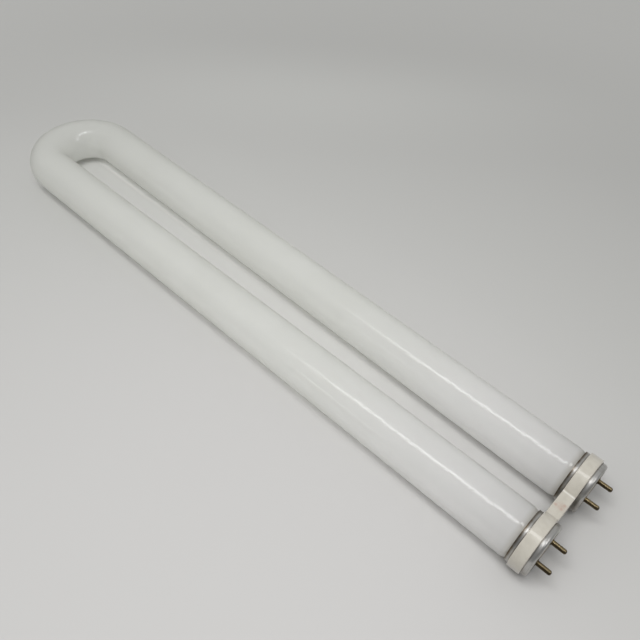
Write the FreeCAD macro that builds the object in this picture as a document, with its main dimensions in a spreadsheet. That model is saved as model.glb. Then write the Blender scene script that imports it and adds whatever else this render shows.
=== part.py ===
import FreeCAD, Part
import math
import os

import Sketcher

# U shaped fluorescent lamp, lying flat, in millimetres.
# +X runs along the legs towards the contact pins, Y runs across the two legs, +Z is up.
# The origin is the middle of the lamp's outline, on the surface that it lies on.

doc = FreeCAD.newDocument("u_lamp")
dims = doc.addObject("Spreadsheet::Sheet", "dims")

SIZES = [
    ("overall_length", 419.1),
    ("leg_spacing", 41.275),
    ("bend_spacing", 48.0),
    ("ease_radius", 300.0),
    ("end_run", 9.0),
    ("glass_diameter", 26.2),
    ("shoulder_length", 3.2),
    ("neck_step", 1.05),
    ("neck_length", 7.2),
    ("neck_edge_radius", 2.2),
    ("cap_proud", 0.1),
    ("cap_length", 11.1),
    ("cap_wall", 0.45),
    ("cap_rim_radius", 1.4),
    ("cap_lip", 3.15),
    ("strap_width", 6.2),
    ("strap_wall", 1.05),
    ("strap_setback", 2.85),
    ("strap_clearance", 0.0),
    ("web_height", 11.0),
    ("web_corner_radius", 1.3),
    ("strap_edge_radius", 0.4),
    ("insulator_thickness", 1.5),
    ("insulator_recess", 0.15),
    ("insulator_edge_radius", 0.15),
    ("cement_recess", 0.5),
    ("cement_length", 5.6),
    ("pin_spacing", 12.7),
    ("pin_diameter", 2.36),
    ("pin_length", 7.1),
    ("pin_tip_flat", 0.18),
    ("pin_root_width", 0.2),
    ("pin_swage_width", 0.22),
    ("pin_swage_height", 0.35),
    ("pin_collar_width", 0.72),
    ("pin_collar_height", 0.7),
    ("wire_diameter", 0.7),
    ("wire_depth", 4.5),
]
SIZE = dict(SIZES)
for row, (alias, value) in enumerate(SIZES, start=1):
    dims.set("A%d" % row, alias)
    dims.set("B%d" % row, str(value))
    dims.setAlias("B%d" % row, alias)
doc.recompute()

# Shared positions, each written once from the sizes above.
GLASS_RADIUS = "(dims.glass_diameter / 2)"
NECK_RADIUS = "(dims.glass_diameter / 2 - dims.neck_step)"
CAP_RADIUS = "(dims.glass_diameter / 2 + dims.cap_proud)"
CAP_BORE_RADIUS = "(%s - dims.cap_wall)" % CAP_RADIUS
CAP_MOUTH_RADIUS = "(%s - dims.cap_lip)" % CAP_RADIUS
STRAP_BORE_RADIUS = "(%s + dims.strap_clearance)" % CAP_RADIUS
STRAP_RADIUS = "(%s + dims.strap_wall)" % STRAP_BORE_RADIUS
PIN_RADIUS = "(dims.pin_diameter / 2)"
ROOT_RADIUS = "(%s + dims.pin_root_width)" % PIN_RADIUS
AXIS_HEIGHT = STRAP_RADIUS
BEND_RADIUS = "(dims.bend_spacing / 2)"
BEND_CENTRE_X = "(-dims.overall_length / 2 + dims.bend_spacing / 2 + dims.glass_diameter / 2)"
FACE_X = "(dims.overall_length / 2 - dims.pin_length)"
CAP_BACK_X = "(dims.overall_length / 2 - dims.pin_length - dims.cap_length)"
SHOULDER_X = "(%s - dims.shoulder_length - %s)" % (CAP_BACK_X, BEND_CENTRE_X)
SEAT_X = "(dims.cap_length - dims.cap_wall)"

# Every solid ends up here, with the name that its file gets.
pieces = []


def place(obj, x, y, z=AXIS_HEIGHT):
    """Put an object where its expressions say."""
    obj.setExpression("Placement.Base.x", x)
    obj.setExpression("Placement.Base.y", y)
    obj.setExpression("Placement.Base.z", z)


def new_body(name, x, y):
    body = doc.addObject("PartDesign::Body", name)
    body.Label = name
    place(body, x, y)
    pieces.append(body)
    return body


def new_sketch(body, name, role, offset=None):
    """A sketch on one of the body's own origin planes, moved along its normal by offset."""
    sketch = body.newObject("Sketcher::SketchObject", name)
    plane = [feature for feature in body.Origin.OriginFeatures if feature.Role == role][0]
    sketch.AttachmentSupport = [(plane, "")]
    sketch.MapMode = "FlatFace"
    if offset is not None:
        sketch.setExpression("AttachmentOffset.Base.z", offset)
    return sketch


def dimension(sketch, name, expression, *constraint):
    """Add one driving dimension and tie it to the sheet."""
    index = sketch.addConstraint(Sketcher.Constraint(*constraint))
    sketch.renameConstraint(index, name)
    sketch.setExpression("Constraints." + name, expression)


def number(expression):
    """The present value of an expression, used to draw sketches near their final shape."""
    return float(dims.evalExpression(expression.replace("dims.", "")))


def outline(sketch, corners):
    """A closed run of straight edges whose corners are set out from the sketch's origin."""
    points = [FreeCAD.Vector(number(x), number(y), 0) for x, y in corners]
    count = len(points)
    for start in range(count):
        sketch.addGeometry(Part.LineSegment(points[start], points[(start + 1) % count]), False)
    for start in range(count):
        sketch.addConstraint(Sketcher.Constraint("Coincident", start, 2, (start + 1) % count, 1))
    for corner, (x, y) in enumerate(corners):
        if x == "0":
            sketch.addConstraint(Sketcher.Constraint("PointOnObject", corner, 1, -2))
        else:
            dimension(sketch, "x%d" % corner, x, "DistanceX", -1, 1, corner, 1, points[corner].x)
        if y == "0":
            sketch.addConstraint(Sketcher.Constraint("PointOnObject", corner, 1, -1))
        else:
            dimension(sketch, "y%d" % corner, y, "DistanceY", -1, 1, corner, 1, points[corner].y)


def turned(body, name, corners):
    """A full turn of an outline about the body's own X axis."""
    sketch = new_sketch(body, name + "_outline", "XY_Plane")
    outline(sketch, corners)
    turn = body.newObject("PartDesign::Revolution", name)
    turn.Profile = sketch
    turn.ReferenceAxis = (sketch, ["H_Axis"])
    turn.Angle = 360.0
    body.Tip = turn
    doc.recompute()
    return turn


def rounded(body, name, base, test, radius):
    """Round the edges of base that pass the test."""
    names = ["Edge%d" % (k + 1) for k, edge in enumerate(base.Shape.Edges) if test(edge)]
    if not names:
        raise RuntimeError(name + " found no edge to round")
    fillet = body.newObject("PartDesign::Fillet", name)
    fillet.Base = (base, names)
    fillet.setExpression("Radius", radius)
    body.Tip = fillet
    doc.recompute()
    return fillet


def ring_at(x, radius):
    """A test for the circular edge about the X axis at one place and radius."""
    def test(edge):
        curve = edge.Curve
        if not isinstance(curve, Part.Circle):
            return False
        return abs(curve.Center.x - x) < 0.01 and abs(curve.Radius - radius) < 0.01
    return test


def leg_tilt():
    """The angle by which each leg spreads from the pins towards the bend."""
    end_x = number(SHOULDER_X) - SIZE["end_run"]
    half = SIZE["leg_spacing"] / 2
    ease = SIZE["ease_radius"]
    low = 0.0
    high = 0.2
    for _ in range(60):
        tilt = (low + high) / 2
        reach = math.sin(tilt) * (end_x - ease * math.sin(tilt))
        reach += math.cos(tilt) * (half + ease * (1 - math.cos(tilt)))
        if reach < number(BEND_RADIUS):
            low = tilt
        else:
            high = tilt
    return tilt


# Glass envelope: one sealed solid. Its centre line runs straight out of each cap, eases outwards,
# follows a straight leg and turns back through the bend.
glass = new_body("glass_tube", BEND_CENTRE_X, "0")
path = new_sketch(glass, "lamp_path", "XY_Plane")
tilt = leg_tilt()
half = SIZE["leg_spacing"] / 2
ease = SIZE["ease_radius"]
bend = number(BEND_RADIUS)
shoulder_x = number(SHOULDER_X)
ease_x = shoulder_x - SIZE["end_run"]
leg_x = ease_x - ease * math.sin(tilt)
leg_y = half + ease * (1 - math.cos(tilt))
turn_x = bend * math.sin(tilt)
turn_y = bend * math.cos(tilt)
up = FreeCAD.Vector(0, 0, 1)


def arc(centre, radius, start, end):
    circle = Part.Circle(FreeCAD.Vector(centre[0], centre[1], 0), up, radius)
    return Part.ArcOfCircle(circle, start, end)


def line(start, end):
    return Part.LineSegment(FreeCAD.Vector(start[0], start[1], 0), FreeCAD.Vector(end[0], end[1], 0))


right_end = path.addGeometry(line((shoulder_x, half), (ease_x, half)), False)
right_ease = path.addGeometry(
    arc((ease_x, half + ease), ease, 1.5 * math.pi - tilt, 1.5 * math.pi), False)
right_leg = path.addGeometry(line((leg_x, leg_y), (turn_x, turn_y)), False)
turn = path.addGeometry(arc((0, 0), bend, math.pi / 2 - tilt, 1.5 * math.pi + tilt), False)
left_leg = path.addGeometry(line((turn_x, -turn_y), (leg_x, -leg_y)), False)
left_ease = path.addGeometry(
    arc((ease_x, -half - ease), ease, math.pi / 2, math.pi / 2 + tilt), False)
left_end = path.addGeometry(line((ease_x, -half), (shoulder_x, -half)), False)
path.addConstraint(Sketcher.Constraint("Coincident", turn, 3, -1, 1))
path.addConstraint(Sketcher.Constraint("Horizontal", right_end))
path.addConstraint(Sketcher.Constraint("Horizontal", left_end))
path.addConstraint(Sketcher.Constraint("Tangent", right_end, 2, right_ease, 2))
path.addConstraint(Sketcher.Constraint("Tangent", right_ease, 1, right_leg, 1))
path.addConstraint(Sketcher.Constraint("Tangent", right_leg, 2, turn, 1))
path.addConstraint(Sketcher.Constraint("Tangent", turn, 2, left_leg, 1))
path.addConstraint(Sketcher.Constraint("Tangent", left_leg, 2, left_ease, 2))
path.addConstraint(Sketcher.Constraint("Tangent", left_ease, 1, left_end, 1))
path.addConstraint(Sketcher.Constraint("Symmetric", right_end, 1, left_end, 2, -1))
path.addConstraint(Sketcher.Constraint("Equal", right_end, left_end))
path.addConstraint(Sketcher.Constraint("Equal", right_ease, left_ease))
dimension(path, "bend", BEND_RADIUS, "Radius", turn, bend)
dimension(path, "ease", "dims.ease_radius", "Radius", right_ease, ease)
dimension(path, "reach", SHOULDER_X, "DistanceX", -1, 1, right_end, 1, shoulder_x)
dimension(path, "spread", "dims.leg_spacing / 2", "DistanceY", -1, 1, right_end, 1, half)
dimension(path, "run", "dims.end_run", "DistanceX", right_end, 2, right_end, 1, SIZE["end_run"])

section = new_sketch(glass, "lamp_section", "YZ_Plane", SHOULDER_X)
glass_circle = Part.Circle(FreeCAD.Vector(half, 0, 0), up, SIZE["glass_diameter"] / 2)
section.addGeometry(glass_circle, False)
section.addConstraint(Sketcher.Constraint("PointOnObject", 0, 3, -1))
dimension(section, "round", "dims.glass_diameter", "Diameter", 0, SIZE["glass_diameter"])
dimension(section, "across", "dims.leg_spacing / 2", "DistanceX", -1, 1, 0, 3, half)
doc.recompute()

tube = glass.newObject("PartDesign::AdditivePipe", "bent_tube")
tube.Profile = section
tube.Spine = (path, ["Edge%d" % (k + 1) for k in range(7)])
tube.Mode = "Standard"
glass.Tip = tube
doc.recompute()

# Each end of the envelope draws in through a rounded shoulder to a neck inside its cap.
shoulder = new_sketch(glass, "shoulder_outline", "XY_Plane")
glass_radius = number(GLASS_RADIUS)
neck_radius = number(NECK_RADIUS)
step = glass_radius - neck_radius
round_radius = (SIZE["shoulder_length"] ** 2 + step ** 2) / (2 * step)
neck_x = shoulder_x + SIZE["shoulder_length"]
stop_x = neck_x + SIZE["neck_length"]
round_end = math.asin((neck_radius - glass_radius + round_radius) / round_radius)
axis_start = shoulder.addGeometry(line((shoulder_x, half), (shoulder_x, half + glass_radius)), False)
rounding = shoulder.addGeometry(
    arc((shoulder_x, half + glass_radius - round_radius), round_radius, round_end, math.pi / 2), False)
neck = shoulder.addGeometry(line((neck_x, half + neck_radius), (stop_x, half + neck_radius)), False)
stop = shoulder.addGeometry(line((stop_x, half + neck_radius), (stop_x, half)), False)
spine = shoulder.addGeometry(line((stop_x, half), (shoulder_x, half)), False)
shoulder.addConstraint(Sketcher.Constraint("Coincident", axis_start, 2, rounding, 2))
shoulder.addConstraint(Sketcher.Constraint("Coincident", rounding, 1, neck, 1))
shoulder.addConstraint(Sketcher.Constraint("Coincident", neck, 2, stop, 1))
shoulder.addConstraint(Sketcher.Constraint("Coincident", stop, 2, spine, 1))
shoulder.addConstraint(Sketcher.Constraint("Coincident", spine, 2, axis_start, 1))
shoulder.addConstraint(Sketcher.Constraint("Vertical", axis_start))
shoulder.addConstraint(Sketcher.Constraint("Vertical", stop))
shoulder.addConstraint(Sketcher.Constraint("Horizontal", neck))
shoulder.addConstraint(Sketcher.Constraint("Horizontal", spine))
shoulder.addConstraint(Sketcher.Constraint("PointOnObject", rounding, 3, axis_start))
dimension(shoulder, "start", SHOULDER_X, "DistanceX", -1, 1, axis_start, 1, shoulder_x)
dimension(shoulder, "centre", "dims.leg_spacing / 2", "DistanceY", -1, 1, axis_start, 1, half)
dimension(shoulder, "full", GLASS_RADIUS, "DistanceY", axis_start, 1, axis_start, 2, glass_radius)
dimension(shoulder, "draw", "dims.shoulder_length", "DistanceX", axis_start, 2, neck, 1,
          SIZE["shoulder_length"])
dimension(shoulder, "narrow", NECK_RADIUS, "DistanceY", stop, 2, stop, 1, neck_radius)
dimension(shoulder, "length", "dims.neck_length", "DistanceX", neck, 1, neck, 2, SIZE["neck_length"])
axis = shoulder.addGeometry(line((shoulder_x, half), (stop_x, half)), True)
shoulder.addConstraint(Sketcher.Constraint("Coincident", axis, 1, axis_start, 1))
shoulder.addConstraint(Sketcher.Constraint("Coincident", axis, 2, stop, 2))
doc.recompute()
right_neck = glass.newObject("PartDesign::Revolution", "right_neck")
right_neck.Profile = shoulder
right_neck.ReferenceAxis = (shoulder, ["Axis0"])
right_neck.Angle = 360.0
glass.Tip = right_neck
doc.recompute()
both_necks = glass.newObject("PartDesign::Mirrored", "both_necks")
both_necks.Originals = [right_neck]
mirror_plane = [feature for feature in glass.Origin.OriginFeatures if feature.Role == "XZ_Plane"][0]
both_necks.MirrorPlane = (mirror_plane, [""])
glass.Tip = both_necks
doc.recompute()


def neck_rim(edge):
    curve = edge.Curve
    if not isinstance(curve, Part.Circle):
        return False
    return abs(curve.Center.x - stop_x) < 0.01 and abs(curve.Radius - neck_radius) < 0.01


rounded(glass, "neck_ends", both_necks, neck_rim, "dims.neck_edge_radius")

# The two bases, one on each leg.
for side, sign in (("left", "-"), ("right", "")):
    leg_offset = sign + "dims.leg_spacing / 2"

    # Drawn aluminium cap: a thin cup with a rounded front rim turned in over the insulator.
    cap = new_body("base_cap_" + side, CAP_BACK_X, leg_offset)
    shell = turned(cap, "shell_" + side, [
        ("0", CAP_RADIUS),
        ("dims.cap_length", CAP_RADIUS),
        ("dims.cap_length", CAP_MOUTH_RADIUS),
        (SEAT_X, CAP_MOUTH_RADIUS),
        (SEAT_X, CAP_BORE_RADIUS),
        ("0", CAP_BORE_RADIUS),
    ])
    outer_rim = ring_at(SIZE["cap_length"], number(CAP_RADIUS))
    rim = rounded(cap, "rim_" + side, shell, outer_rim, "dims.cap_rim_radius")
    inner_rim = ring_at(number(SEAT_X), number(CAP_BORE_RADIUS))
    rounded(cap, "inner_rim_" + side, rim, inner_rim, "dims.cap_rim_radius - dims.cap_wall")

    # Insulator: a disc behind the cap's front lip, with a boss just inside the mouth.
    insulator = new_body("base_insulator_" + side, CAP_BACK_X, leg_offset)
    lip_corner = CAP_BORE_RADIUS + " - dims.cap_rim_radius + dims.cap_wall"
    disc = turned(insulator, "disc_" + side, [
        (SEAT_X + " - dims.insulator_thickness", "0"),
        (SEAT_X + " - dims.insulator_thickness", CAP_BORE_RADIUS),
        (SEAT_X + " - dims.cap_rim_radius + dims.cap_wall", CAP_BORE_RADIUS),
        (SEAT_X, lip_corner),
        (SEAT_X, CAP_MOUTH_RADIUS),
        ("dims.cap_length - dims.insulator_recess", CAP_MOUTH_RADIUS),
        ("dims.cap_length - dims.insulator_recess", "0"),
    ])
    boss_edge = ring_at(SIZE["cap_length"] - SIZE["insulator_recess"], number(CAP_MOUTH_RADIUS))
    boss = rounded(insulator, "boss_edge_" + side, disc, boss_edge, "dims.insulator_edge_radius")
    holes = new_sketch(insulator, "pin_holes_" + side, "YZ_Plane")
    for index, place_y in enumerate((SIZE["pin_spacing"] / 2, -SIZE["pin_spacing"] / 2)):
        hole = Part.Circle(FreeCAD.Vector(place_y, 0, 0), up, number(ROOT_RADIUS))
        holes.addGeometry(hole, False)
    holes.addConstraint(Sketcher.Constraint("Symmetric", 0, 3, 1, 3, -1, 1))
    holes.addConstraint(Sketcher.Constraint("PointOnObject", 0, 3, -1))
    holes.addConstraint(Sketcher.Constraint("Equal", 0, 1))
    dimension(holes, "root", ROOT_RADIUS, "Radius", 0, number(ROOT_RADIUS))
    dimension(holes, "apart", "dims.pin_spacing / 2", "DistanceX", -1, 1, 0, 3, SIZE["pin_spacing"] / 2)
    before = boss.Shape.Volume
    drilled = insulator.newObject("PartDesign::Pocket", "drilled_" + side)
    drilled.Profile = holes
    drilled.Type = "ThroughAll"
    drilled.Reversed = True
    insulator.Tip = drilled
    doc.recompute()
    if drilled.Shape.Volume > before - 10.0:
        raise RuntimeError("the pin holes did not cut")

    # Basing cement: the ring that holds the cap on the glass neck.
    cement = new_body("basing_cement_" + side, CAP_BACK_X, leg_offset)
    turned(cement, "cement_" + side, [
        ("dims.cement_recess", NECK_RADIUS),
        ("dims.cement_recess", CAP_BORE_RADIUS),
        ("dims.cement_recess + dims.cement_length", CAP_BORE_RADIUS),
        ("dims.cement_recess + dims.cement_length", NECK_RADIUS),
    ])

    # Contact pins: brass, domed at the tip, with a thicker root held in the insulator between a collar
    # and a swaged ring, and a bore for the lead wire.
    collar_back = SEAT_X + " - dims.insulator_thickness - dims.pin_collar_height"
    for rank, offset in (("outer", "+"), ("inner", "-")):
        turned_offset = offset if side == "right" else {"+": "-", "-": "+"}[offset]
        pin_y = leg_offset + " " + turned_offset + " dims.pin_spacing / 2"
        name = "contact_pin_%s_%s" % (side, rank)
        pin = new_body(name, CAP_BACK_X + " + " + collar_back, pin_y)
        collar = "dims.pin_collar_height"
        swage = "dims.pin_collar_height + dims.insulator_thickness + dims.cap_wall - dims.insulator_recess"
        tip = "dims.pin_collar_height + dims.insulator_thickness + dims.cap_wall + dims.pin_length"
        shank = turned(pin, "shank_%s_%s" % (side, rank), [
            ("0", "dims.wire_diameter / 2"),
            ("0", ROOT_RADIUS + " + dims.pin_collar_width"),
            (collar, ROOT_RADIUS + " + dims.pin_collar_width"),
            (collar, ROOT_RADIUS),
            (swage, ROOT_RADIUS),
            (swage, ROOT_RADIUS + " + dims.pin_swage_width"),
            (swage + " + dims.pin_swage_height", ROOT_RADIUS + " + dims.pin_swage_width"),
            (swage + " + dims.pin_swage_height", PIN_RADIUS),
            (tip, PIN_RADIUS),
            (tip, "0"),
            ("dims.wire_depth", "0"),
            ("dims.wire_depth", "dims.wire_diameter / 2"),
        ])
        tip_edge = ring_at(number(tip), number(PIN_RADIUS))
        rounded(pin, "tip_%s_%s" % (side, rank), shank, tip_edge,
                PIN_RADIUS + " - dims.pin_tip_flat")

        # Lead wire: from the sealed end of the glass into the bore of its pin.
        wire = doc.addObject("Part::Cylinder", "lead_wire_%s_%s" % (side, rank))
        wire.Label = "lead_wire_%s_%s" % (side, rank)
        wire.setExpression("Radius", "dims.wire_diameter / 2")
        wire.setExpression("Height", collar_back + " - dims.neck_length + dims.wire_depth")
        wire.Placement = FreeCAD.Placement(FreeCAD.Vector(0, 0, 0),
                                           FreeCAD.Rotation(FreeCAD.Vector(0, 1, 0), 90))
        place(wire, CAP_BACK_X + " + dims.neck_length", pin_y)
        pieces.append(wire)

# Bridge strap: two moulded rings round the caps, joined by a flat web.
strap = new_body("bridge_strap", FACE_X + " - dims.strap_setback - dims.strap_width", "0")
rings = new_sketch(strap, "strap_outline", "YZ_Plane")
ring_radius = number(STRAP_RADIUS)
web_z = SIZE["web_height"] / 2
web_angle = math.pi - math.asin(web_z / ring_radius)
web_y = half + ring_radius * math.cos(web_angle)
right_ring = rings.addGeometry(arc((half, 0), ring_radius, -web_angle, web_angle), False)
web_top = rings.addGeometry(line((web_y, web_z), (-web_y, web_z)), False)
left_ring = rings.addGeometry(
    arc((-half, 0), ring_radius, math.pi - web_angle, math.pi + web_angle), False)
web_bottom = rings.addGeometry(line((-web_y, -web_z), (web_y, -web_z)), False)
bore_radius = number(STRAP_BORE_RADIUS)
right_bore = rings.addGeometry(Part.Circle(FreeCAD.Vector(half, 0, 0), up, bore_radius), False)
left_bore = rings.addGeometry(Part.Circle(FreeCAD.Vector(-half, 0, 0), up, bore_radius), False)
rings.addConstraint(Sketcher.Constraint("Coincident", right_ring, 2, web_top, 1))
rings.addConstraint(Sketcher.Constraint("Coincident", web_top, 2, left_ring, 1))
rings.addConstraint(Sketcher.Constraint("Coincident", left_ring, 2, web_bottom, 1))
rings.addConstraint(Sketcher.Constraint("Coincident", web_bottom, 2, right_ring, 1))
rings.addConstraint(Sketcher.Constraint("Horizontal", web_top))
rings.addConstraint(Sketcher.Constraint("Horizontal", web_bottom))
rings.addConstraint(Sketcher.Constraint("PointOnObject", right_ring, 3, -1))
rings.addConstraint(Sketcher.Constraint("Symmetric", right_ring, 3, left_ring, 3, -1, 1))
rings.addConstraint(Sketcher.Constraint("Equal", right_ring, left_ring))
rings.addConstraint(Sketcher.Constraint("Coincident", right_bore, 3, right_ring, 3))
rings.addConstraint(Sketcher.Constraint("Coincident", left_bore, 3, left_ring, 3))
rings.addConstraint(Sketcher.Constraint("Equal", right_bore, left_bore))
dimension(rings, "ring", STRAP_RADIUS, "Radius", right_ring, ring_radius)
dimension(rings, "bore", STRAP_BORE_RADIUS, "Radius", right_bore, bore_radius)
dimension(rings, "spacing", "dims.leg_spacing / 2", "DistanceX", -1, 1, right_ring, 3, half)
dimension(rings, "above", "dims.web_height / 2", "DistanceY", -1, 1, web_top, 1, web_z)
dimension(rings, "below", "dims.web_height / 2", "DistanceY", web_bottom, 2, -1, 1, web_z)
doc.recompute()
band = strap.newObject("PartDesign::Pad", "band")
band.Profile = rings
band.setExpression("Length", "dims.strap_width")
strap.Tip = band
doc.recompute()


def web_corner(edge):
    """The four inward corners where the web meets the rings."""
    if not isinstance(edge.Curve, Part.Line):
        return False
    middle = edge.BoundBox.Center
    return edge.BoundBox.XLength > SIZE["strap_width"] / 2 and abs(abs(middle.z) - web_z) < 0.01


def outer_border(edge):
    """The outline of the strap's two flat sides, without the bores."""
    if edge.BoundBox.XLength > 0.01:
        return False
    if not isinstance(edge.Curve, Part.Circle):
        return True
    return abs(edge.Curve.Radius - bore_radius) > 0.01


blended = rounded(strap, "web_corners", band, web_corner, "dims.web_corner_radius")
rounded(strap, "strap_edges", blended, outer_border, "dims.strap_edge_radius")

# Nothing is written unless every object and every solid is sound.
doc.recompute()
for obj in doc.Objects:
    if "Invalid" in obj.State or "Error" in obj.State:
        raise RuntimeError(obj.Name + " did not compute")
for piece in pieces:
    shape = piece.Shape
    if shape.isNull() or not shape.isValid() or len(shape.Solids) != 1:
        raise RuntimeError(piece.Label + " is not one sound solid")

os.makedirs("parts", exist_ok=True)
whole = FreeCAD.BoundBox()
for piece in pieces:
    piece.Shape.exportStep("parts/" + piece.Label + ".step")
    box = piece.Shape.optimalBoundingBox()
    whole.add(box)
    print("%-28s volume %10.1f  x %8.2f %8.2f  y %7.2f %7.2f  z %6.2f %6.2f" % (
        piece.Label, piece.Shape.Volume, box.XMin, box.XMax, box.YMin, box.YMax, box.ZMin, box.ZMax))
print("whole lamp %.2f x %.2f x %.2f mm" % (whole.XLength, whole.YLength, whole.ZLength))
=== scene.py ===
import math

import bpy
from mathutils import Matrix, Vector


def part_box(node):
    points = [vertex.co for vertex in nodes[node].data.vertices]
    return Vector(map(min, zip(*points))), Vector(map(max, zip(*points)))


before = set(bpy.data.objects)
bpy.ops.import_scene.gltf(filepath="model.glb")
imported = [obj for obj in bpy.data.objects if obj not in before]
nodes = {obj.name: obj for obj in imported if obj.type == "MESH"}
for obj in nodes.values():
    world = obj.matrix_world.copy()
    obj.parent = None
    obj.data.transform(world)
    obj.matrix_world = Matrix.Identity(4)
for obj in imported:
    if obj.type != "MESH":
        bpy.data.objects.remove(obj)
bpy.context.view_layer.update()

scene = bpy.context.scene
scene.view_settings.view_transform = "Standard"

# All lengths are in metres and all colours are linear.
# Places on the lamp that several materials share.
strap_low, strap_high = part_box("bridge_strap")
cap_low, cap_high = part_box("base_cap_right")
AXIS_HEIGHT = (strap_low.z + strap_high.z) / 2
LEG_OFFSET = (cap_low.y + cap_high.y) / 2
CAP_BACK = cap_low.x
STRAP_BACK = strap_low.x
STRAP_FRONT = strap_high.x


class Graph:
    """A node tree, with short ways to add the nodes that are used here."""

    def __init__(self, tree):
        self.tree = tree

    def add(self, kind, **settings):
        made = self.tree.nodes.new(kind)
        for key, value in settings.items():
            setattr(made, key, value)
        return made

    def link(self, output, socket):
        self.tree.links.new(output, socket)

    def place(self):
        """Position in the lamp's frame."""
        return self.add("ShaderNodeTexCoord").outputs["Object"]

    def stretched(self, scale):
        """Position with each axis scaled on its own, for grain that runs one way."""
        mapping = self.add("ShaderNodeMapping")
        mapping.inputs["Scale"].default_value = scale
        self.link(self.place(), mapping.inputs["Vector"])
        return mapping.outputs["Vector"]

    def split(self, vector):
        """The three coordinates of a vector, by name."""
        made = self.add("ShaderNodeSeparateXYZ")
        self.link(vector, made.inputs["Vector"])
        return made.outputs

    def axis(self, name):
        """One coordinate of the position."""
        return self.split(self.place())[name]

    def distance(self, centre):
        """How far the position is from a point."""
        made = self.add("ShaderNodeVectorMath", operation="DISTANCE")
        self.link(self.place(), made.inputs[0])
        made.inputs[1].default_value = centre
        return made.outputs["Value"]

    def noise(self, vector, scale=1.0, detail=2.0, roughness=0.5):
        made = self.add("ShaderNodeTexNoise")
        made.inputs["Scale"].default_value = scale
        made.inputs["Detail"].default_value = detail
        made.inputs["Roughness"].default_value = roughness
        self.link(vector, made.inputs["Vector"])
        return made.outputs["Fac"]

    def span(self, value, low, high, to_low=0.0, to_high=1.0):
        """Map low..high smoothly to to_low..to_high and hold the ends."""
        made = self.add("ShaderNodeMapRange", interpolation_type="SMOOTHSTEP")
        made.inputs["From Min"].default_value = low
        made.inputs["From Max"].default_value = high
        made.inputs["To Min"].default_value = to_low
        made.inputs["To Max"].default_value = to_high
        self.link(value, made.inputs["Value"])
        return made.outputs["Result"]

    def spot(self, centre, radius, soft):
        """One inside a ball about a point, fading to zero outside."""
        return self.span(self.distance(centre), radius, radius + soft, 1.0, 0.0)

    def maths(self, operation, first, second):
        """Combine two values, each a number or another node's output."""
        made = self.add("ShaderNodeMath", operation=operation)
        for socket, value in zip(made.inputs, (first, second)):
            if isinstance(value, float):
                socket.default_value = value
            else:
                self.link(value, socket)
        return made.outputs["Value"]

    def times(self, first, second):
        return self.maths("MULTIPLY", first, second)

    def larger(self, first, second):
        return self.maths("MAXIMUM", first, second)

    def away(self, value, centre=0.0):
        """How far a value is from a number, on either side."""
        return self.maths("ABSOLUTE", self.maths("SUBTRACT", value, centre), 0.0)

    def blend(self, amount, first, second):
        """Mix two colours, each a tuple or another node's output."""
        made = self.add("ShaderNodeMix", data_type="RGBA")
        self.link(amount, made.inputs["Factor"])
        for name, value in (("A", first), ("B", second)):
            socket = next(s for s in made.inputs if s.name == name and s.type == "RGBA")
            if isinstance(value, tuple):
                socket.default_value = (*value, 1.0)
            else:
                self.link(value, socket)
        return next(s for s in made.outputs if s.type == "RGBA")

    def bump(self, height, strength, distance):
        made = self.add("ShaderNodeBump")
        made.inputs["Strength"].default_value = strength
        made.inputs["Distance"].default_value = distance
        self.link(height, made.inputs["Height"])
        return made.outputs["Normal"]


def new_material(name):
    """A material, its graph and the inputs of its Principled shader."""
    material = bpy.data.materials.new(name)
    material.use_nodes = True
    shader = material.node_tree.nodes["Principled BSDF"]
    return material, Graph(material.node_tree), shader.inputs


def dress(material, *names):
    for name in names:
        slots = nodes[name].data.materials
        slots.clear()
        slots.append(material)


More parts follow.
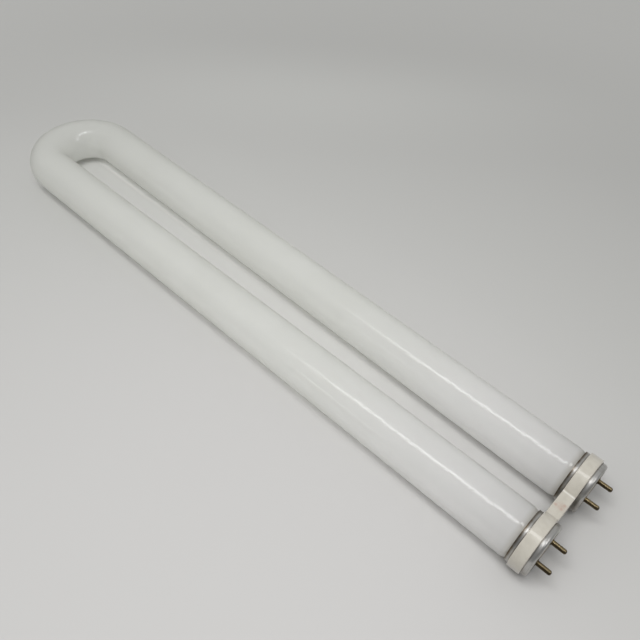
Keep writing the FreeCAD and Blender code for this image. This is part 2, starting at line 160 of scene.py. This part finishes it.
def coated_glass():
    """Clear glass over a white powder coating that lets light through."""
    material, graph, inputs = new_material("coated_glass")
    cloud_dark, cloud_light = (0.918, 0.923, 0.898), (0.94, 0.945, 0.925)
    powder_grey, bend_grey, wall_grey = (0.90, 0.90, 0.87), (0.875, 0.88, 0.855), (0.72, 0.72, 0.69)
    base_white, end_tan = (0.955, 0.95, 0.95), (0.62, 0.59, 0.53)
    bend_end, middle = -0.21, 0.0
    translucent_share = 0.64

    cloud = graph.noise(graph.place(), 26.0, 3.0)
    powder = graph.noise(graph.place(), 1400.0, 3.0, 0.6)
    white = graph.blend(graph.span(cloud, 0.35, 0.65), cloud_dark, cloud_light)
    white = graph.blend(graph.span(powder, 0.3, 0.7, 0.0, 0.2), white, powder_grey)
    greyer = graph.span(graph.axis("X"), bend_end, middle, 0.7, 0.0)
    white = graph.blend(greyer, white, bend_grey)
    cooler = graph.span(graph.axis("X"), CAP_BACK - 0.14, CAP_BACK - 0.02, 0.0, 0.7)
    white = graph.blend(cooler, white, base_white)
    end_band = graph.span(graph.axis("X"), CAP_BACK - 0.0035, CAP_BACK - 0.0003, 0.0, 0.6)
    white = graph.blend(end_band, white, end_tan)
    # The clear wall looks greyer where it is seen at a slant.
    wall = graph.add("ShaderNodeLayerWeight")
    wall.inputs["Blend"].default_value = 0.5
    slant = graph.span(wall.outputs["Facing"], 0.35, 0.95, 0.0, 0.42)
    white = graph.blend(slant, white, wall_grey)
    graph.link(white, inputs["Base Color"])
    inputs["Roughness"].default_value = 0.5
    inputs["Coat Weight"].default_value = 1.0
    inputs["Coat Roughness"].default_value = 0.05
    inputs["Coat IOR"].default_value = 2.0

    # Lines along the tube, and a ripple that breaks up the shine towards the caps.
    drawn = graph.noise(graph.stretched((6.0, 170.0, 170.0)))
    ripple = graph.noise(graph.stretched((280.0, 95.0, 95.0)))
    rippled = graph.span(graph.axis("X"), -0.12, 0.14, 0.1, 6.5)
    uneven = graph.maths("ADD", drawn, graph.times(ripple, rippled))
    graph.link(graph.bump(uneven, 0.15, 0.0004), inputs["Coat Normal"])

    through = graph.add("ShaderNodeBsdfTranslucent")
    graph.link(white, through.inputs["Color"])
    shared = graph.add("ShaderNodeMixShader")
    shared.inputs["Fac"].default_value = translucent_share
    tree_nodes = material.node_tree.nodes
    graph.link(tree_nodes["Principled BSDF"].outputs["BSDF"], shared.inputs[1])
    graph.link(through.outputs["BSDF"], shared.inputs[2])
    graph.link(shared.outputs["Shader"], tree_nodes["Material Output"].inputs["Surface"])
    return material


def cap_aluminium():
    """Drawn aluminium with fine lines round it, dirt at its joints, and painted shade between the
    caps and low down.
    """
    material, graph, inputs = new_material("cap_aluminium")
    line_dark, line_light = (0.50, 0.495, 0.48), (0.62, 0.615, 0.60)
    dull_grey, dirt_and_shade_brown = (0.36, 0.34, 0.31), (0.115, 0.083, 0.047)
    seam_near, seam_far = 0.0001, 0.0007

    lines = graph.noise(graph.stretched((7000.0, 90.0, 90.0)), 1.0, 3.0, 0.6)
    dull = graph.noise(graph.place(), 260.0, 3.0)
    metal = graph.blend(graph.span(lines, 0.35, 0.7), line_dark, line_light)
    metal = graph.blend(graph.span(dull, 0.48, 0.7, 0.0, 0.5), metal, dull_grey)

    # Painted shade: darker on the side between the two caps, low down, and towards the bottom. The
    # dark lines at the strap's edges and at the glass are dirt.
    inner_side = graph.span(graph.away(graph.axis("Y")),
                            LEG_OFFSET - 0.0125, LEG_OFFSET - 0.004, 0.6, 0.0)
    lower_half = graph.span(graph.axis("Z"), AXIS_HEIGHT, AXIS_HEIGHT + 0.010, 1.0, 0.0)
    between_caps_shade = graph.times(inner_side, lower_half)
    underside = graph.span(graph.axis("Z"), AXIS_HEIGHT - 0.004, AXIS_HEIGHT + 0.006, 0.35, 0.0)
    seam_back = graph.span(graph.axis("X"), STRAP_BACK - seam_far, STRAP_BACK - seam_near, 0.0, 0.8)
    seam_front = graph.span(graph.axis("X"),
                            STRAP_FRONT + seam_near, STRAP_FRONT + seam_far, 0.8, 0.0)
    mouth = graph.span(graph.axis("X"), CAP_BACK + 0.0003, CAP_BACK + 0.0014, 0.95, 0.0)
    dirt_and_shade = graph.larger(graph.larger(between_caps_shade, underside),
                         graph.larger(graph.times(seam_back, seam_front), mouth))
    dirt_and_shade = graph.times(dirt_and_shade, graph.span(dull, 0.25, 0.6, 0.55, 1.0))
    metal = graph.blend(dirt_and_shade, metal, dirt_and_shade_brown)

    graph.link(metal, inputs["Base Color"])
    inputs["Metallic"].default_value = 1.0
    graph.link(graph.span(dull, 0.3, 0.7, 0.28, 0.44), inputs["Roughness"])
    graph.link(graph.bump(lines, 0.15, 0.00003), inputs["Normal"])
    return material


def strap_plastic():
    """Ivory moulded plastic with a faint stain and a painted highlight along one crease of its web.
    """
    material, graph, inputs = new_material("strap_plastic")
    ivory_dark, ivory_light = (0.492, 0.465, 0.403), (0.530, 0.503, 0.440)
    stain_red, highlight_white = (0.44, 0.31, 0.25), (0.68, 0.665, 0.61)
    stain_place = Vector((STRAP_FRONT - 0.0029, -0.0005, AXIS_HEIGHT + 0.0055))
    fleck_offsets = ((0.0009, -0.0011), (-0.0020, -0.0007), (0.0012, 0.0013))
    core, stain_soft, fleck_soft, fleck_share = 0.0002, 0.0033, 0.0011, 0.75
    web_crease = 0.0071

    mottle = graph.noise(graph.place(), 300.0, 3.0)
    ivory = graph.blend(graph.span(mottle, 0.35, 0.65), ivory_dark, ivory_light)

    patches = graph.noise(graph.place(), 420.0, 4.0, 0.7)
    stain = graph.times(graph.spot(stain_place, core, stain_soft),
                        graph.span(patches, 0.3, 0.7, 0.2, 0.7))
    for off_x, off_y in fleck_offsets:
        fleck = graph.spot(stain_place + Vector((off_x, off_y, 0.0)), core, fleck_soft)
        stain = graph.larger(stain, graph.times(fleck, fleck_share))
    ivory = graph.blend(stain, ivory, stain_red)

    # Painted highlight: a lighter line along the crease where the web meets the ring.
    crease = graph.span(graph.away(graph.axis("Y"), web_crease), 0.0001, 0.0006, 0.8, 0.0)
    on_top = graph.span(graph.axis("Z"), AXIS_HEIGHT + 0.004, AXIS_HEIGHT + 0.005)
    ivory = graph.blend(graph.times(crease, on_top), ivory, highlight_white)

    graph.link(ivory, inputs["Base Color"])
    inputs["Roughness"].default_value = 0.3
    inputs["Coat Weight"].default_value = 0.6
    inputs["Coat Roughness"].default_value = 0.09
    grain = graph.noise(graph.place(), 2600.0)
    graph.link(graph.bump(grain, 0.08, 0.00005), inputs["Normal"])
    return material


def pin_brass():
    """Darkened brass with a painted highlight along the top and bottom, and lighter rubbed streaks.
    """
    material, graph, inputs = new_material("pin_brass")
    tarnish_light, tarnish_dark = (0.11, 0.085, 0.05), (0.05, 0.04, 0.025)
    highlight_brass, bare_brass = (0.27, 0.215, 0.125), (0.42, 0.34, 0.20)

    tarnish = graph.noise(graph.place(), 160.0, 3.0)
    rubs = graph.noise(graph.stretched((120.0, 2400.0, 2400.0)))
    brass = graph.blend(graph.span(tarnish, 0.35, 0.65), tarnish_light, tarnish_dark)
    # Painted highlight: lighter brass along the top and bottom, broken up by the tarnish.
    top_and_bottom = graph.span(graph.away(graph.axis("Z"), AXIS_HEIGHT), 0.00078, 0.00112)
    highlight_band = graph.times(top_and_bottom, graph.span(tarnish, 0.70, 0.40, 0.25, 1.0))
    brass = graph.blend(highlight_band, brass, highlight_brass)
    brass = graph.blend(graph.span(rubs, 0.60, 0.78, 0.0, 0.3), brass, bare_brass)

    graph.link(brass, inputs["Base Color"])
    inputs["Metallic"].default_value = 1.0
    graph.link(graph.span(tarnish, 0.3, 0.7, 0.22, 0.42), inputs["Roughness"])
    return material


def insulator():
    """Pressed fibre board."""
    material, graph, inputs = new_material("insulator")
    board_dark, board_light = (0.30, 0.24, 0.17), (0.42, 0.35, 0.26)
    fibre = graph.noise(graph.stretched((300.0, 900.0, 1600.0)), 1.0, 4.0, 0.65)
    board = graph.blend(graph.span(fibre, 0.3, 0.7), board_dark, board_light)
    graph.link(board, inputs["Base Color"])
    inputs["Roughness"].default_value = 0.65
    graph.link(graph.bump(fibre, 0.2, 0.00006), inputs["Normal"])
    return material


def cement():
    """Baked basing cement."""
    material, graph, inputs = new_material("cement")
    grit_dark, grit_light = (0.10, 0.08, 0.06), (0.22, 0.18, 0.14)
    grit = graph.noise(graph.place(), 1800.0, 4.0, 0.7)
    baked = graph.blend(graph.span(grit, 0.3, 0.7), grit_dark, grit_light)
    graph.link(baked, inputs["Base Color"])
    inputs["Roughness"].default_value = 0.9
    graph.link(graph.bump(grit, 0.4, 0.0001), inputs["Normal"])
    return material


def lead_metal():
    """Drawn wire."""
    material, graph, inputs = new_material("lead_metal")
    wire_dark, wire_light = (0.42, 0.40, 0.37), (0.56, 0.54, 0.50)
    drawing = graph.noise(graph.stretched((200.0, 3000.0, 3000.0)), 1.0, 3.0)
    wire = graph.blend(graph.span(drawing, 0.35, 0.65), wire_dark, wire_light)
    graph.link(wire, inputs["Base Color"])
    inputs["Metallic"].default_value = 1.0
    inputs["Roughness"].default_value = 0.4
    return material


dress(coated_glass(), "glass_tube")
dress(cap_aluminium(), "base_cap_left", "base_cap_right")
dress(strap_plastic(), "bridge_strap")
dress(pin_brass(), "contact_pin_left_outer", "contact_pin_left_inner",
      "contact_pin_right_inner", "contact_pin_right_outer")
dress(insulator(), "base_insulator_left", "base_insulator_right")
dress(cement(), "basing_cement_left", "basing_cement_right")
dress(lead_metal(), "lead_wire_left_outer", "lead_wire_left_inner",
      "lead_wire_right_inner", "lead_wire_right_outer")


def floor_paper():
    """Pale paper with painted light and shade in its tone."""
    material, graph, inputs = new_material("floor_paper")
    pool_place, shade_place = (0.12, -0.15, 0.0), (-0.05, -0.30, 0.0)
    pool_light, pool_grey = (0.555, 0.548, 0.54), (0.515, 0.515, 0.50)
    middle_white, far_white = (0.71, 0.71, 0.69), (0.93, 0.93, 0.915)
    shade_grey, gap_white = (0.47, 0.468, 0.458), (0.68, 0.68, 0.66)
    under_white, fold_highlight_white = (0.86, 0.86, 0.84), (0.70, 0.705, 0.68)
    under_bend, leg_line = -0.200, 0.0222
    fold_place, fold_turn = (-0.139, 0.217, 0.0), math.radians(131.0)

    # Painted light: paler farther from the lamp, making up for the lamps' light falling off;
    # painted shade darkens one patch on the camera's side.
    pool = graph.distance(pool_place)
    paper = graph.blend(graph.span(pool, 0.08, 0.32), pool_light, pool_grey)
    paper = graph.blend(graph.span(pool, 0.42, 0.80), paper, middle_white)
    paper = graph.blend(graph.span(pool, 0.70, 1.25), paper, far_white)
    shade = graph.times(graph.spot(shade_place, 0.05, 0.30), 0.5)
    paper = graph.blend(shade, paper, shade_grey)

    # Light that gets through the glass makes the paper paler between the legs and under them.
    between = graph.span(graph.away(graph.axis("Y")), 0.009, 0.016, 1.0, 0.0)
    along_gap = graph.times(graph.span(graph.axis("X"), under_bend, -0.185),
                            graph.span(graph.axis("X"), 0.06, 0.15, 0.32, 0.0))
    paper = graph.blend(graph.times(between, along_gap), paper, gap_white)
    aside = graph.away(graph.away(graph.axis("Y")), leg_line)
    under = graph.span(aside, 0.006, 0.011, 1.0, 0.0)
    along_legs = graph.times(graph.span(graph.axis("X"), under_bend, -0.180),
                             graph.span(graph.axis("X"), 0.05, 0.18, 0.7, 0.0))
    paper = graph.blend(graph.times(under, along_legs), paper, under_white)

    # Painted highlight: a soft lighter band behind the lamp, where a fold in the paper would catch
    # the light.
    mapping = graph.add("ShaderNodeMapping", vector_type="TEXTURE")
    mapping.inputs["Location"].default_value = fold_place
    mapping.inputs["Rotation"].default_value = (0.0, 0.0, fold_turn)
    graph.link(graph.place(), mapping.inputs["Vector"])
    fold_axes = graph.split(mapping.outputs["Vector"])
    across = graph.span(graph.away(fold_axes["X"]), 0.0, 0.10, 0.3, 0.0)
    along = graph.span(graph.away(fold_axes["Y"]), 0.0, 0.34, 1.0, 0.0)
    paper = graph.blend(graph.times(across, along), paper, fold_highlight_white)

    graph.link(paper, inputs["Base Color"])
    inputs["Roughness"].default_value = 0.85
    inputs["Specular IOR Level"].default_value = 0.2
    return material


FLOOR_HALF = 4.0
mesh = bpy.data.meshes.new("floor")
corners = [(-FLOOR_HALF, -FLOOR_HALF, 0.0), (FLOOR_HALF, -FLOOR_HALF, 0.0),
           (FLOOR_HALF, FLOOR_HALF, 0.0), (-FLOOR_HALF, FLOOR_HALF, 0.0)]
mesh.from_pydata(corners, [], [(0, 1, 2, 3)])
mesh.materials.append(floor_paper())
floor = bpy.data.objects.new("floor", mesh)
scene.collection.objects.link(floor)

# Camera, from the photograph: where it stands, which way it looks and how it is rolled.
CAMERA_PLACE = Vector((0.2085, -0.1826, 0.2854))
CAMERA_AZIMUTH = 131.01
CAMERA_DOWN = 47.20
CAMERA_ROLL = 3.95
CAMERA_LENS = 37.75
CAMERA_SENSOR = 36.0
camera_data = bpy.data.cameras.new("camera")
camera_data.sensor_width = CAMERA_SENSOR
camera_data.lens = CAMERA_LENS
camera_data.clip_start = 0.01
camera = bpy.data.objects.new("camera", camera_data)
turn = Matrix.Rotation(math.radians(CAMERA_AZIMUTH - 90.0), 4, "Z")
tip = Matrix.Rotation(math.radians(90.0 - CAMERA_DOWN), 4, "X")
roll = Matrix.Rotation(math.radians(CAMERA_ROLL), 4, "Z")
camera.matrix_world = Matrix.Translation(CAMERA_PLACE) @ turn @ tip @ roll
scene.collection.objects.link(camera)
scene.camera = camera


def area_light(name, start, end, width, power, aim, glossy=True, diffuse=True):
    """A rectangle of light whose long side runs from start to end, facing aim."""
    start = Vector(start)
    end = Vector(end)
    data = bpy.data.lights.new(name, "AREA")
    data.shape = "RECTANGLE"
    data.size = (end - start).length
    data.size_y = width
    data.energy = power
    light = bpy.data.objects.new(name, data)
    middle = (start + end) / 2
    along = (end - start).normalized()
    back = (middle - Vector(aim)).normalized()
    back = (back - along * back.dot(along)).normalized()
    across = back.cross(along)
    facing = Matrix((along, across, back)).transposed().to_4x4()
    light.matrix_world = Matrix.Translation(middle) @ facing
    light.visible_camera = False
    light.visible_glossy = glossy
    light.visible_diffuse = diffuse
    scene.collection.objects.link(light)


# An overhead strip makes the long shine lines. It fades towards the bend, in steps of
# (start, end, power), with start and end as shares of its length.
STRIP_FAR = Vector((-0.320, -0.357, 0.70))
STRIP_NEAR = Vector((0.230, -0.036, 0.70))
STRIP_WIDTH = 0.12
STRIP_STEPS = ((0.0, 0.10, 0.02), (0.10, 0.22, 0.05), (0.22, 0.36, 0.12), (0.36, 1.0, 0.70))
STRIP_AIM = (0.1, 0.0, 0.0)
for step, (begin, stop, power) in enumerate(STRIP_STEPS):
    area_light("strip_%d" % step, STRIP_FAR.lerp(STRIP_NEAR, begin),
               STRIP_FAR.lerp(STRIP_NEAR, stop), STRIP_WIDTH, power, STRIP_AIM)
# A low window makes the second, fainter shine line.
area_light("window", start=(-0.33, -0.80, 0.27), end=(-0.12, -0.72, 0.27),
           width=0.05, power=0.10, aim=(0.1, 0.0, 0.02))
# The main light, from above on the camera's side, and a fill from lower down at the bend.
area_light("soft_box", start=(-0.12, -0.27, 0.72), end=(0.44, -0.27, 0.72),
           width=0.28, power=3.3, aim=(0.18, -0.06, 0.0), glossy=False)
area_light("fill", start=(-0.42, -0.56, 0.52), end=(0.12, -0.56, 0.52),
           width=0.30, power=0.40, aim=(-0.14, 0.0, 0.0), glossy=False)
# Seen only in reflections, and lights nothing else.
area_light("strip_back", start=(0.36, 0.02, 0.62), end=(0.85, 0.10, 0.62),
           width=0.12, power=0.8, aim=(0.1, 0.0, 0.0), diffuse=False)

# A grey room, lighter above and behind the lamp.
SKY_TOWARDS = (-0.55, 0.65, 0.52)
SKY_DARK = (0.19, 0.19, 0.19)
SKY_LIGHT = (0.51, 0.51, 0.505)
world = bpy.data.worlds.new("studio")
world.use_nodes = True
scene.world = world
graph = Graph(world.node_tree)
background = world.node_tree.nodes["Background"]
towards = graph.add("ShaderNodeVectorMath", operation="DOT_PRODUCT")
graph.link(graph.add("ShaderNodeTexCoord").outputs["Generated"], towards.inputs[0])
towards.inputs[1].default_value = SKY_TOWARDS
sky = graph.blend(graph.span(towards.outputs["Value"], -0.45, 0.75), SKY_DARK, SKY_LIGHT)
graph.link(sky, background.inputs["Color"])
background.inputs["Strength"].default_value = 1.0
